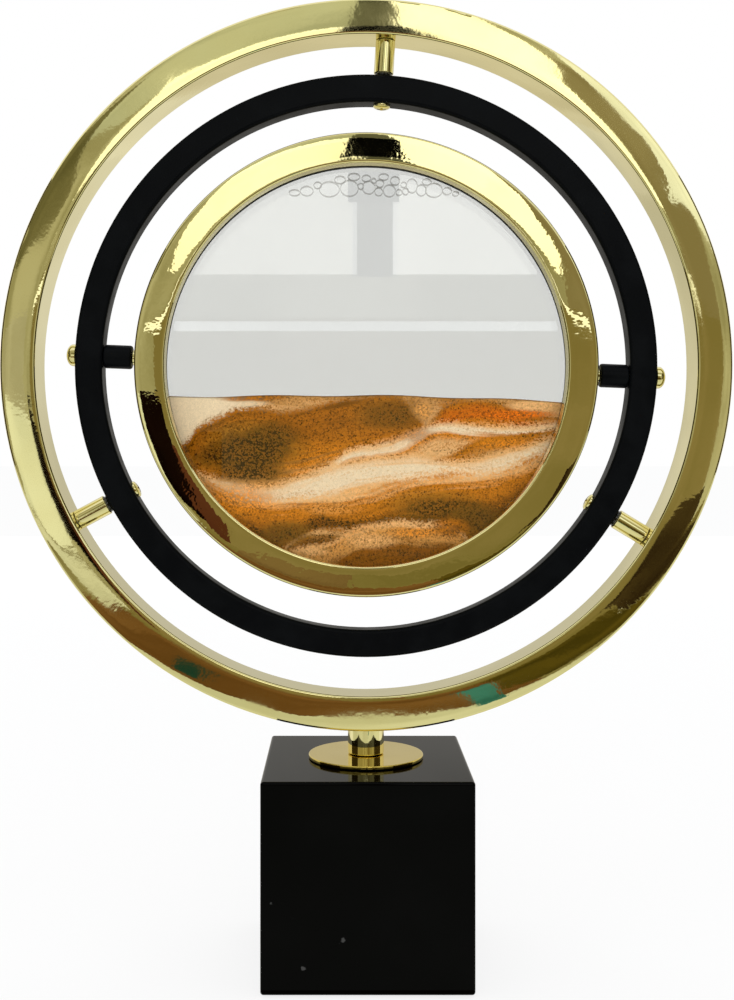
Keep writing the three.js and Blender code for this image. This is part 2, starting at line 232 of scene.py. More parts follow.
def stoneFinish(name, look):         # polished black marble with a few pale flecks
    finish = newFinish(name)
    place = finish.place()
    cloud = finish.noise(place, *look["cloud"])
    grain = finish.noise(place, *look["grain"])
    shifted = finish.node("ShaderNodeVectorMath", {"operation": "ADD"}, {0: place, 1: look["shift"]})
    ragged = finish.cells(shifted, look["fleckCell"], "Distance") + (grain - 0.5) * look["fleckRagged"]
    fleck = 1 - finish.fade(ragged, look["fleckSize"], look["fleckSize"] * look["fleckFade"])
    cloudy = finish.fade(cloud, *look["cloudEdges"])
    colour = finish.blend(cloudy, opaque(look["dark"]), opaque(look["cloudy"]))
    colour = finish.blend(fleck * look["fleckShare"], colour, opaque(look["fleck"]))
    rough = look["rough"] + cloud * look["cloudRough"] + fleck * look["fleckRough"]
    return finish.close(finish.surface(colour=colour, rough=rough, specular=look["specular"]))


rubberLook = {"colour": (0.012, 0.012, 0.012), "dusty": (0.03, 0.03, 0.028), "grain": (0.0005, 3.0),
              "grainHeight": 0.00002, "rough": 0.6, "grainRough": 0.25}
siliconeLook = {**rubberLook, "colour": (0.62, 0.62, 0.59), "dusty": (0.7, 0.7, 0.67), "grain": (0.0012, 3.0)}


def rubberFinish(name, look):        # matt sealant
    finish = newFinish(name)
    grain = finish.noise(finish.place(), *look["grain"])
    colour = finish.blend(grain, opaque(look["colour"]), opaque(look["dusty"]))
    rough = look["rough"] + grain * look["grainRough"]
    normal = finish.bump(grain * look["grainHeight"])
    return finish.close(finish.surface(colour=colour, rough=rough, normal=normal))


feltLook = {"colour": (0.035, 0.033, 0.031), "lint": (0.09, 0.086, 0.08), "fibre": (0.0008, 4.0),
            "fibreHeight": 0.0003, "rough": 0.95, "sheen": 0.3}


def feltFinish(name, look):          # pressed felt
    finish = newFinish(name)
    fibre = finish.noise(finish.place(), *look["fibre"])
    colour = finish.blend(fibre, opaque(look["colour"]), opaque(look["lint"]))
    normal = finish.bump(fibre * look["fibreHeight"])
    return finish.close(finish.surface(colour=colour, rough=look["rough"], normal=normal, sheen=look["sheen"]))


steelLook = {"colour": (0.55, 0.56, 0.57), "dull": (0.4, 0.41, 0.42), "cloud": (0.003, 4.0), "rough": 0.28,
             "cloudRough": 0.2}


def steelFinish(name, look):         # zinc plate
    finish = newFinish(name)
    cloud = finish.noise(finish.place(), *look["cloud"])
    colour = finish.blend(cloud, opaque(look["colour"]), opaque(look["dull"]))
    rough = look["rough"] + cloud * look["cloudRough"]
    return finish.close(finish.surface(colour=colour, metal=1.0, rough=rough))


glassLook = {"tint": (0.993, 0.995, 0.993), "ior": 1.79, "rough": 0.01}      # one face shines for a pane's two
waterLook = {"tint": (0.87, 0.873, 0.865), "ior": 1.115, "rough": 0.01}


def clearFinish(name, look):         # light goes straight through, with the gloss of the surface on top
    finish = newFinish(name)
    through = finish.node("ShaderNodeBsdfTransparent", None, {"Color": opaque(look["tint"])})
    gloss = finish.node("ShaderNodeBsdfGlossy", None, {"Color": plainWhite, "Roughness": look["rough"]})
    inside = finish.node("ShaderNodeNewGeometry", out="Backfacing")
    share = finish.node("ShaderNodeFresnel", None, {"IOR": look["ior"]}) * (1 - inside)
    return finish.close(finish.node("ShaderNodeMixShader", None, {0: share, 1: through, 2: gloss}))


filmLook = {"dark": (0.3, 0.3, 0.29), "pale": (0.5, 0.5, 0.48), "cloud": (0.004, 2.0), "rough": 0.15,
            "alpha": 0.32, "cloudAlpha": 0.2}


def filmFinish(name, look):          # the thin walls of the bubbles
    finish = newFinish(name)
    cloud = finish.noise(finish.place(), *look["cloud"])
    colour = finish.blend(cloud, opaque(look["dark"]), opaque(look["pale"]))
    alpha = look["alpha"] + cloud * look["cloudAlpha"]
    return finish.close(finish.surface(colour=colour, rough=look["rough"], alpha=alpha))


frameLook = {**goldLook, "rough": (0.01, 0.03), "swell": (0.03, 1.0), "swellHeight": 0.0003}
# painted shade: the flange is the same gold plate, painted deeper and more orange for what its top reflects
flangeLook = {**goldLook, "pale": (0.72, 0.56, 0.14), "deep": (0.68, 0.52, 0.1)}
goldPlate = goldFinish("goldPlate", goldLook)
frameGold = goldFinish("frameGold", frameLook)
flangeGold = goldFinish("flangeGold", flangeLook)
blackCoat = coatFinish("blackCoat", coatLook)
blackStone = stoneFinish("blackStone", stoneLook)
blackSeal = rubberFinish("blackSeal", rubberLook)
paleSeal = rubberFinish("paleSeal", siliconeLook)
greyFelt = feltFinish("greyFelt", feltLook)
zincSteel = steelFinish("zincSteel", steelLook)
paneGlass = clearFinish("paneGlass", glassLook)
cellWater = clearFinish("cellWater", waterLook)
bubbleFilm = filmFinish("bubbleFilm", filmLook)

seedSize = 0.001                     # of the plane that shrinks to a line's first point
mergeGap = 0.000001                  # points nearer than this are one
bendAngle = 40                       # degrees from which two faces have an edge between them
fitGap = 0.0002                      # between pieces that meet


def pick(piece):                     # this piece alone is selected and active
    bpy.ops.object.select_all(action="DESELECT")
    piece.select_set(True)
    bpy.context.view_layer.objects.active = piece


def settle(name=None):               # the active piece's place goes into its mesh
    piece = bpy.context.object
    if name:
        piece.name = name
        piece.data.name = name
    bpy.ops.object.transform_apply(location=True, rotation=True, scale=True)
    return piece


def drawLine(name, points):          # one point is pulled along from place to place
    bpy.ops.object.select_all(action="DESELECT")
    bpy.ops.mesh.primitive_plane_add(size=seedSize, location=points[0])
    piece = settle(name)
    bpy.ops.object.mode_set(mode="EDIT")
    bpy.ops.mesh.select_all(action="SELECT")
    bpy.ops.mesh.merge(type="CENTER")
    for start, end in zip(points, points[1:]):
        bpy.ops.mesh.extrude_region_move(TRANSFORM_OT_translate={"value": Vector(end) - Vector(start)})
    return piece


def closeMesh(piece):                # doubles merged, and then all faces outwards
    bpy.ops.mesh.select_all(action="SELECT")
    bpy.ops.mesh.remove_doubles(threshold=mergeGap)
    bpy.ops.mesh.normals_make_consistent(inside=False)
    bpy.ops.object.mode_set(mode="OBJECT")
    return piece


def turned(name, profile, steps):    # a profile of (radius, height) spun about Z
    piece = drawLine(name, [(radius, 0, height) for radius, height in profile])
    bpy.ops.mesh.select_all(action="SELECT")
    bpy.ops.mesh.remove_doubles(threshold=mergeGap)
    bpy.ops.mesh.select_all(action="SELECT")
    bpy.ops.mesh.spin(steps=steps, angle=2 * math.pi, center=(0, 0, 0), axis=(0, 0, 1))
    return closeMesh(piece)


def smooth(piece, angle=bendAngle):  # flat faces stay flat beside their round edges
    pick(piece)
    bpy.ops.object.shade_smooth_by_angle(angle=math.radians(angle))
    bpy.ops.object.modifier_add(type="WEIGHTED_NORMAL")
    normals = piece.modifiers[-1]
    normals.keep_sharp = True
    bpy.ops.object.modifier_apply(modifier=normals.name)


def soften(piece, edge, segments=4):
    pick(piece)
    bpy.ops.object.modifier_add(type="BEVEL")
    bevel = piece.modifiers[-1]
    bevel.width, bevel.segments = edge, segments
    bevel.limit_method, bevel.angle_limit = "ANGLE", math.radians(bendAngle)
    bpy.ops.object.modifier_apply(modifier=bevel.name)
    smooth(piece)


def discard(*pieces):
    for piece in pieces:
        bpy.data.objects.remove(piece, do_unlink=True)


def cutBy(piece, tool):
    pick(piece)
    bpy.ops.object.modifier_add(type="BOOLEAN")
    cut = piece.modifiers[-1]
    cut.operation, cut.object, cut.solver = "DIFFERENCE", tool, "EXACT"
    bpy.ops.object.modifier_apply(modifier=cut.name)
    discard(tool)


def placed(piece, spot, axis):       # the piece's Z goes along the axis
    pick(piece)
    piece.rotation_mode = "QUATERNION"
    piece.rotation_quaternion = Vector((0, 0, 1)).rotation_difference(Vector(axis))
    piece.location = spot
    settle()
    piece.rotation_mode = "XYZ"
    return piece


def copied(pattern, name):
    piece = pattern.copy()
    piece.data = pattern.data.copy()
    piece.name = piece.data.name = name
    scene.collection.objects.link(piece)
    return piece


def dress(piece, finish, body, slot, *nodes):
    piece.data.materials.clear()
    piece.data.materials.append(finish)
    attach(piece, body)
    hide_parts(*nodes)


def middle(node):
    low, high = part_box(node)
    return (low + high) / 2


ringCentre = middle("outer_ring")
ringLow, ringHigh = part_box("outer_ring")
outerRadius = (ringHigh.x - ringLow.x) / 2
backwards, upwards = (0, 1, 0), (0, 0, 1)
ringSteps = 192
crownShape = {"parts": 16, "power": 4}


def outward(node):                   # the way from the rings' centre to a node
    return (middle(node) - ringCentre).normalized()


def crowned(start, end, level, crown):       # a face from one radius to another that falls off at its sides
    parts = crownShape["parts"] if crown else 1
    face = []
    for part in range(parts + 1):
        share = part / parts
        face.append((start + (end - start) * share, level + crown * (2 * share - 1) ** crownShape["power"]))
    return face


def sectionRing(name, inner, outer, front, rear, edge, steps=ringSteps, crown=0.0, drop=0.0):
    profile = crowned(inner, outer, front, crown) + crowned(outer, inner, rear, -crown)     # a square section
    ring = turned(name, profile + profile[:1], steps)
    soften(ring, edge)
    return placed(ring, ringCentre - Vector((0, 0, drop)), backwards)


def shaft(radius, length, bore):      # a short round bar, open along its middle
    return [(bore, 0), (radius, 0), (radius, length), (bore, length), (bore, 0)]


print("stage: base")
stoneBlock = {"edge": 0.0012, "edgeSteps": 5}


def makeBase():
    low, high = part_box("base_block")
    bpy.ops.object.select_all(action="DESELECT")
    bpy.ops.mesh.primitive_cube_add(size=1, location=(low + high) / 2, scale=high - low)
    block = settle("stoneBlock")
    soften(block, stoneBlock["edge"], stoneBlock["edgeSteps"])
    dress(block, blackStone, "stand", "black_marble", "base_block")


makeBase()

flangeDisc = {"bore": 0.0036, "edge": 0.0004, "steps": 128}
postBar = {"edge": 0.0006, "steps": 96}


def makePost():
    low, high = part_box("flange_plate")
    seat = high.z + fitGap
    profile = shaft((high.x - low.x) / 2, high.z - low.z, flangeDisc["bore"])
    disc = turned("flangeDisc", profile, flangeDisc["steps"])
    soften(disc, flangeDisc["edge"], segments=3)
    placed(disc, (0, 0, low.z), upwards)
    dress(disc, flangeGold, "stand", "polished_gold", "flange_plate")
    low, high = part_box("post")
    radius, tail = (high.x - low.x) / 2, flangeDisc["bore"] - fitGap / 2
    profile = [(0, low.z), (tail, low.z), (tail, seat), (radius, seat), (radius, high.z), (0, high.z)]
    post = turned("postBar", profile, postBar["steps"])
    soften(post, postBar["edge"], segments=3)
    dress(post, goldPlate, "stand", "polished_gold", "post")


makePost()

print("stage: rings")
goldRing = {"bar": 0.0138, "edge": 0.0014, "crown": 0.00025}
blackRing = {"room": 0.0148, "bar": 0.011, "edge": 0.0016}
goldInner = outerRadius - goldRing["bar"]
blackOuter = goldInner - blackRing["room"]
blackInner = blackOuter - blackRing["bar"]


def makeRings():
    low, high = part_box("outer_ring")
    ring = sectionRing("goldRing", goldInner, outerRadius, low.y, high.y, goldRing["edge"],
                       crown=goldRing["crown"])
    dress(ring, goldPlate, "stand", "polished_gold", "outer_ring")
    low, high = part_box("middle_ring")
    ring = sectionRing("blackRing", blackInner, blackOuter, low.y, high.y, blackRing["edge"])
    dress(ring, blackCoat, "stand", "black_coat", "middle_ring")


makeRings()

print("stage: standoffs and screws")
standoffRod = {"radius": 0.00395, "edge": 0.0004, "neck": 0.0033, "neckLength": 0.0012, "steps": 64}
screwHead = {"shank": 0.0019, "slot": 0.0036, "slotWide": 0.0009, "slotDeep": 0.0011, "rim": 0.3,
             "domeSteps": 8, "smoothAngle": 35, "steps": 64}
innerScrew = {"radius": 0.0034, "height": 0.0017, "length": 0.0204}
pivotScrew = {"radius": 0.0044, "height": 0.0038, "length": 0.0291}


def screw(name, size):               # a domed head above Z = 0 with a cross recess, and a plain shank below it
    rim = size["height"] * screwHead["rim"]
    shank = screwHead["shank"]
    profile = [(0, -size["length"]), (shank, -size["length"]), (shank, 0), (size["radius"], 0),
               (size["radius"], rim)]
    for step in range(1, screwHead["domeSteps"] + 1):
        turn = math.radians(90 * step / screwHead["domeSteps"])
        profile.append((size["radius"] * math.cos(turn), rim + (size["height"] - rim) * math.sin(turn)))
    head = turned(name, profile, screwHead["steps"])
    for long, wide in ((screwHead["slot"], screwHead["slotWide"]), (screwHead["slotWide"], screwHead["slot"])):
        bpy.ops.object.select_all(action="DESELECT")
        bpy.ops.mesh.primitive_cube_add(size=1, location=(0, 0, size["height"]),
                                        scale=(long, wide, 2 * screwHead["slotDeep"]))
        cutBy(head, settle("blade"))
    smooth(head, screwHead["smoothAngle"])
    return head


def makeStandoffs():
    end = goldInner - blackOuter - 2 * fitGap
    bore, radius = screwHead["shank"], standoffRod["radius"]
    neck, neckEnd = standoffRod["neck"], standoffRod["neckLength"]
    profile = [(bore, 0), (neck, 0), (neck, neckEnd), (radius, neckEnd), (radius, end), (bore, end), (bore, 0)]
    rodPattern = turned("rodPattern", profile, standoffRod["steps"])
    soften(rodPattern, standoffRod["edge"], segments=3)
    screwPattern = screw("screwPattern", innerScrew)
    for side in ("top", "left", "right"):
        way = outward("standoff_" + side)
        rod = copied(rodPattern, "standoffRod." + side)
        placed(rod, ringCentre + way * (blackOuter + fitGap), way)
        dress(rod, standoffGold, "stand", "polished_gold", "standoff_" + side)
        head = copied(screwPattern, "standoffScrew." + side)
        placed(head, ringCentre + way * (blackInner - fitGap), -way)
        dress(head, goldPlate, "stand", "polished_gold", "standoff_screw_" + side)
    discard(rodPattern, screwPattern)


# the rods' necks by the black ring are painted black, a painted shade for the gap there
standoffGold = goldFinish("standoffGold", goldLook, blackOuter + standoffRod["neckLength"])
makeStandoffs()

pivotSleeve = {"radius": 0.00475, "from": 0.0938, "to": 0.105, "edge": 0.0009, "edgeSteps": 3, "steps": 64}
pivotWasher = {"radius": 0.003, "from": 0.0918, "to": 0.0936, "edge": 0.0003, "edgeSteps": 2, "steps": 48}


def bush(name, size):                # a round bar with room for the pivot screw
    profile = shaft(size["radius"], size["to"] - size["from"], screwHead["shank"] + fitGap)
    pattern = turned(name, profile, size["steps"])
    soften(pattern, size["edge"], size["edgeSteps"])
    return pattern


def makePivots():
    sleevePattern = bush("sleevePattern", pivotSleeve)
    washerPattern = bush("washerPattern", pivotWasher)
    screwPattern = screw("pivotPattern", pivotScrew)
    for side in ("left", "right"):
        way = outward("pivot_sleeve_" + side)
        sleeve = copied(sleevePattern, "pivotSleeve." + side)
        placed(sleeve, ringCentre + way * pivotSleeve["from"], way)
        dress(sleeve, blackCoat, "stand", "black_coat", "pivot_sleeve_" + side)
        washer = copied(washerPattern, "pivotWasher." + side)
        placed(washer, ringCentre + way * pivotWasher["from"], way)
        dress(washer, goldPlate, "sand_frame", "polished_gold", "pivot_washer_" + side)
        head = copied(screwPattern, "pivotScrew." + side)
        placed(head, ringCentre + way * (blackOuter + fitGap), way)
        dress(head, goldPlate, "sand_frame", "polished_gold", "pivot_screw_" + side)
    discard(sleevePattern, washerPattern, screwPattern)


makePivots()

print("stage: sand frame")
cellFrame = {"outer": 0.0916, "opening": 0.0796, "seat": 0.0869, "lipBack": -0.0036, "edge": 0.001,
             "edgeSteps": 6, "crown": 0.00006, "steps": 224}
backRing = {"inner": 0.0822, "edge": 0.0004}
sealRing = {"front": 0.0795, "back": 0.0819, "edge": 0.0002, "drop": 0.00028}
spacerRing = {"inner": 0.0814, "edge": 0.0002, "plugIn": 0.0003, "boreDepth": 0.02, "steps": 32}
glassPane = {"radius": 0.0866, "edge": 0.0003}


def roundEdge(radius, height, start):        # a quarter round about its own middle
    edge, steps = cellFrame["edge"], cellFrame["edgeSteps"]
    turns = [math.radians(start + 90 * step / steps) for step in range(steps + 1)]
    return [(radius + edge * math.cos(turn), height + edge * math.sin(turn)) for turn in turns]


def makeFrame():
    low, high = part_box("frame_ring")
    lip, seat, opening, edge = cellFrame["lipBack"], cellFrame["seat"], cellFrame["opening"], cellFrame["edge"]
    inner, outer, front = opening + edge, cellFrame["outer"] - edge, low.y + cellFrame["crown"] + edge
    profile = roundEdge(inner, front, 180)
    profile += crowned(inner, outer, low.y, cellFrame["crown"])[1:-1]
    profile += roundEdge(outer, front, 270)
    profile += roundEdge(outer, high.y - edge, 0) + [(seat, high.y), (seat, lip), (opening, lip)]
    ring = turned("cellFrame", profile + profile[:1], cellFrame["steps"])
    smooth(ring)
    placed(ring, ringCentre, backwards)
    dress(ring, frameGold, "sand_frame", "frame_gold", "frame_ring")
    low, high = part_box("retaining_ring")
    ring = sectionRing("backRing", backRing["inner"], glassPane["radius"], low.y, high.y, backRing["edge"],
                       cellFrame["steps"])
    dress(ring, frameGold, "sand_frame", "frame_gold", "retaining_ring")
    for name, node, inner, drop in (("frontSeal", "front_seal", sealRing["front"], sealRing["drop"]),
                                    ("backSeal", "rear_seal", sealRing["back"], 0.0)):
        low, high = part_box(node)
        ring = sectionRing(name, inner, glassPane["radius"], low.y, high.y, sealRing["edge"], drop=drop)
        dress(ring, blackSeal, "sand_frame", "black_rubber", node)
    radius = glassPane["radius"]
    for name, node in (("frontPane", "front_glass"), ("backPane", "rear_glass")):
        low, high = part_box(node)
        pane = turned(name, [(0, low.y), (radius, low.y), (radius, high.y), (0, high.y)], ringSteps)
        soften(pane, glassPane["edge"], segments=2)
        placed(pane, ringCentre, backwards)
        dress(pane, paneGlass, "sand_frame", "clear_glass", node)


def makeSpacer():                    # a pale ring with the fill plug in its bore
    low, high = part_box("cell_spacer")
    ring = sectionRing("spacerRing", spacerRing["inner"], glassPane["radius"], low.y, high.y,
                       spacerRing["edge"])
    low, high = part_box("fill_plug")
    radius, foot = (high.x - low.x) / 2, ringCentre.z + spacerRing["inner"] + spacerRing["plugIn"]
    spot, length = (middle("fill_plug").x, middle("fill_plug").y, foot), high.z - foot
    plug = turned("fillPlug", [(0, 0), (radius, 0), (radius, length), (0, length)], spacerRing["steps"])
    soften(plug, spacerRing["edge"], segments=2)
    placed(plug, spot, upwards)
    bpy.ops.object.select_all(action="DESELECT")
    bpy.ops.mesh.primitive_cylinder_add(vertices=spacerRing["steps"], radius=radius + fitGap,
                                        depth=spacerRing["boreDepth"], location=spot)
    cutBy(ring, settle("bore"))
    smooth(ring)
    dress(ring, paleSeal, "sand_frame", "pale_rubber", "cell_spacer")
    dress(plug, paleSeal, "sand_frame", "pale_rubber", "fill_plug")


makeFrame()
makeSpacer()

print("stage: sand and water")
cellFill = {"radius": 0.0812, "waterTop": 0.0808, "steps": 96, "tries": 30, "smoothAngle": 30}
sandTop = {"level": -0.01245, "slope": -0.0165, "swells": ((0.0009, 0.21, 1.2), (0.0003, 0.048, 0.3))}


def sandHeight(x):                   # the top of the sand, from the rings' centre
    height = sandTop["level"] + sandTop["slope"] * x
    for rise, length, phase in sandTop["swells"]:
        height += rise * math.sin(2 * math.pi * x / length + phase)
    return height


def sandEnd(side):                   # where the top of the sand meets the cell's round wall
    x = side * cellFill["radius"]
    for _ in range(cellFill["tries"]):               # each try comes nearer
        x = side * math.sqrt(cellFill["radius"] ** 2 - sandHeight(x) ** 2)
    return math.atan2(sandHeight(x), x)


def arc(start, end, steps):
    turns = [start + (end - start) * step / steps for step in range(steps + 1)]
    return [(cellFill["radius"] * math.cos(turn), cellFill["radius"] * math.sin(turn)) for turn in turns]


def slab(name, outline, node):       # a flat outline, filled and pulled through the cell's depth
    low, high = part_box(node)
    points = [(x, low.y, ringCentre.z + z) for x, z in outline]
    piece = drawLine(name, points)
    bpy.ops.mesh.select_all(action="SELECT")
    bpy.ops.mesh.edge_face_add()
    bpy.ops.mesh.select_all(action="SELECT")
    bpy.ops.mesh.extrude_region_move(TRANSFORM_OT_translate={"value": (0, high.y - low.y, 0)})
    return closeMesh(piece)


def makeFill():
    right, left = sandEnd(1), sandEnd(-1)
    below = left if left < 0 else left - 2 * math.pi                 # the left end, from below and from above
    above = below + 2 * math.pi
    steps = cellFill["steps"]
    first, last = cellFill["radius"] * math.cos(left), cellFill["radius"] * math.cos(right)
    across = [first + (last - first) * step / steps for step in range(1, steps)]
    topLine = [(x, sandHeight(x)) for x in across]
    sand = slab("sandPicture", arc(right, below, steps) + topLine, "sand_dark")
    smooth(sand, cellFill["smoothAngle"])
    dress(sand, sandGrains, "sand_frame", "amber_sand", "sand_dark", "sand_cream", "sand_amber")
    level = math.asin(cellFill["waterTop"] / cellFill["radius"])
    outline = arc(right, level, steps) + arc(math.pi - level, above, steps) + topLine
    water = slab("cellWater", outline, "liquid")
    smooth(water, cellFill["smoothAngle"])
    dress(water, cellWater, "sand_frame", "clear_liquid", "liquid")


sandShades = {"cream": (0.84, 0.67, 0.44), "pale": (0.82, 0.46, 0.18), "tan": (0.62, 0.285, 0.068),
              "orange": (0.64, 0.21, 0.008), "deep": (0.58, 0.125, 0.002), "brown": (0.35, 0.11, 0.004),
              "umber": (0.26, 0.11, 0.008), "dark": (0.018, 0.01, 0.0008)}
sandReach = {"side": 80, "down": 90}         # millimetres from the rings' centre, as in all of the picture
sandGrain = {"size": 0.6, "share": 1.1, "mottle": (0.9, 2.0), "mottleShare": 1.2, "clump": (3.0, 3.0),
             "scatter": 0.3, "edges": (0.08, 0.6), "reliefMetres": 0.00006, "rough": 0.85,
             "specular": 0.02}
sandDrift = {"stretch": (0.16, 1.0, 1.0), "swell": (7.0, 4.0), "height": 5.0}
sandStreak = {"swell": (2.0, 5.0), "length": 14, "apart": 7.0, "sway": 0.8, "clump": 2, "middle": 0.35,
              "mottle": 0.25, "edges": (0.04, 0.22), "ragged": 1.1}
sandPocket = {"edges": (-58, -40), "drift": 3, "mottle": 6}         # pale sand at the left
sandPatch = {"drift": 0.8, "mottle": 0.3, "clump": 0.5, "end": 1.2, "spread": 0.5}
sandSpread = {"dark": 3.6, "umber": 0.8}                            # dark grains scatter the most
# painted shade: a thin dark line just under the sand's top
sandCrestShade = {"colour": (0.06, 0.035, 0.015), "edges": (0.2, 0.7), "strength": 0.6}
sandSpeckle = {"least": 0.94, "tone": 0.12, "blue": (0.01, 0.25), "strength": (1.2, 0.05)}
sandLayers = {     # from the back to the front, with the share of dark grains from the line down
    "back": {
        "line": [(-80, 0), (80, 0)], "depth": 30, "vein": ("brown", 0.4),
        "shades": ["tan", "tan", "pale", "pale"], "grains": (0.24, 0.2, 0.1),
    },
    "leftDune": {
        "soft": 1.8, "depth": 32, "shades": ["brown", "brown", "orange", "tan"],
        "vein": ("dark", 0.55), "grains": (0.08, 0.12, 0.1),
        "line": [(-80, -36), (-75, -32), (-71, -29), (-67, -23.4), (-59.4, -20.2), (-51, -16.9),
                 (-42.3, -16.4), (-33, -17.5), (-24, -16), (-14, -13.5), (0, -12), (12, -12.5), (18, -17),
                 (25, -25), (33, -34), (80, -50)],
    },
    "rightDune": {
        "soft": 1.4, "depth": 15, "shades": ["orange", "deep", "orange", "tan"],
        "vein": ("brown", 0.4), "grains": (0.24, 0.12, 0.14),
        "line": [(-80, -80), (8, -60), (18, -32), (24.2, -23.4), (29.5, -18), (34.9, -14.6), (44.5, -13.5),
                 (55.3, -15.3), (66, -18.8), (80, -20.5)],
    },
    "streak": {
        "soft": 1.4, "depth": 9, "shades": ["pale", "cream", "orange", "pale"],
        "vein": ("brown", 0.5), "grains": (0.06, 0.02, 0.16),
        "line": [(-80, -64), (-34, -50), (-15, -40), (-6, -33), (4, -31), (12, -29), (20, -25.5), (28.7, -22),
                 (44.6, -23), (62.8, -23.4), (80, -21.8)],
    },
    "lens": {
        "soft": 1.0, "depth": 9, "shades": ["orange", "orange", "tan", "pale"],
        "vein": ("brown", 0.7), "grains": (0.24, 0.18, 0.2),
        "line": [(-80, -80), (8, -62), (24, -38.4), (37, -33.8), (44.5, -30), (55.3, -27.4), (66, -26),
                 (80, -24.8)],
    },
    "bank": {
        "soft": 2.2, "depth": 13, "shades": ["pale", "cream", "cream", "pale"],
        "vein": ("tan", 0.35), "grains": (0.06, 0.0, 0.02),
        "line": [(-80, -44), (-66, -43.5), (-52, -45), (-40, -47.5), (-30, -45.5), (-15, -41), (-3.7, -37.8),
                 (17.7, -35.2), (30, -36.8), (38, -37.6), (49.9, -36.2), (60.6, -33.2), (73.5, -28.2),
                 (80, -26)],
    },
    "slope": {
        "soft": 2.6, "depth": 18, "shades": ["pale", "orange", "orange", "brown"],
        "vein": ("brown", 0.6), "grains": (0.04, 0.14, 0.36),
        "line": [(-80, -40), (-67, -42.7), (-60.5, -46.4), (-52, -50.6), (-41, -53), (-27.3, -52.3),
                 (-12.3, -51.7), (1.7, -49), (12.4, -46), (23.1, -43.6), (33.8, -42.4), (47.8, -42.2),
                 (60.6, -38.8), (74.6, -32.5), (80, -30)],
    },
    "shadow": {
        "soft": 1.6, "depth": 7, "shades": ["brown", "brown", "brown", "orange"],
        "vein": ("dark", 0.6), "grains": (0.4, 0.36, 0.3),
        "line": [(-80, -78), (-60, -68), (-46, -65), (-39, -66.5), (-28, -64), (-18.7, -60.6), (-10, -61.6),
                 (2.7, -61.4), (12, -60), (22, -60), (35, -58.5), (50, -58), (80, -62)],
    },
    "step": {
        "soft": 1.1, "depth": 6, "shades": ["pale", "tan", "brown", "brown"],
        "vein": ("brown", 0.7), "grains": (0.12, 0.3, 0.4),
        "line": [(-80, -92), (-36, -75), (-28, -69), (-21, -65.8), (-10, -65.4), (-3, -67.5), (6, -73),
                 (80, -92)],
    },
    "ridge": {
        "soft": 1.4, "depth": 11, "shades": ["pale", "tan", "tan", "brown"],
        "vein": ("brown", 0.35), "grains": (0.06, 0.08, 0.22),
        "line": [(-80, -92), (-36, -78.5), (-27.3, -73.2), (-14.4, -70.6), (-4.8, -65), (4.9, -62.8),
                 (12.4, -61.8), (21, -62.5), (32.7, -62.9), (38.1, -65), (43, -72), (60, -80), (80, -88)],
    },
}
sandPatches = [    # places where one shade gathers: shade, middle, reach, strength
    ("brown", (-45, -12.6), (18, 1.8), 0.85), ("pale", (68, -15.6), (14, 2.6), 0.8),
    ("cream", (-50, -14.9), (14, 1.6), 0.6), ("umber", (-46, -32), (26, 13), 0.85),
    ("umber", (-62, -38), (12, 5), 0.6), ("umber", (-46, -42), (19, 7), 0.7),
    ("dark", (-46, -34), (20, 10), 0.5), ("dark", (-36, -27), (15, 7), 0.35),
    ("dark", (-48, -42.5), (18, 6), 0.5), ("dark", (-60, -36), (11, 6), 0.4),
    ("dark", (-20, -22), (18, 8), 0.1), ("brown", (10, -21), (21, 12), 0.6),
    ("umber", (10, -19), (20, 9), 0.55), ("dark", (11, -19.5), (18, 8), 0.32),
    ("brown", (21, -27), (9, 4), 0.5), ("tan", (23, -18), (6, 5), 0.6),
    ("brown", (-20, -24), (16, 8), 0.35), ("brown", (35, -15), (9, 3), 0.6),
    ("deep", (60, -19), (20, 2.8), 0.75), ("orange", (54, -30.5), (16, 3.4), 0.5),
    ("tan", (-48, -47.5), (18, 3), 0.5), ("orange", (-50, -54), (17, 8), 0.6),
    ("tan", (-14, -57), (16, 4), 0.4), ("umber", (28, -55.5), (26, 7.5), 0.65),
    ("dark", (32, -57), (22, 6), 0.45), ("umber", (44, -62), (14, 8), 0.9),
    ("dark", (44, -61), (13, 8), 0.35), ("umber", (-32, -67), (13, 6), 0.8),
    ("dark", (-32, -67), (11, 5), 0.3), ("orange", (20, -67), (14, 3), 0.5),
    ("brown", (34, -65), (10, 5), 0.8), ("pale", (2, -70), (14, 4), 0.5), ("pale", (-21, -74), (8, 2), 0.6),
]


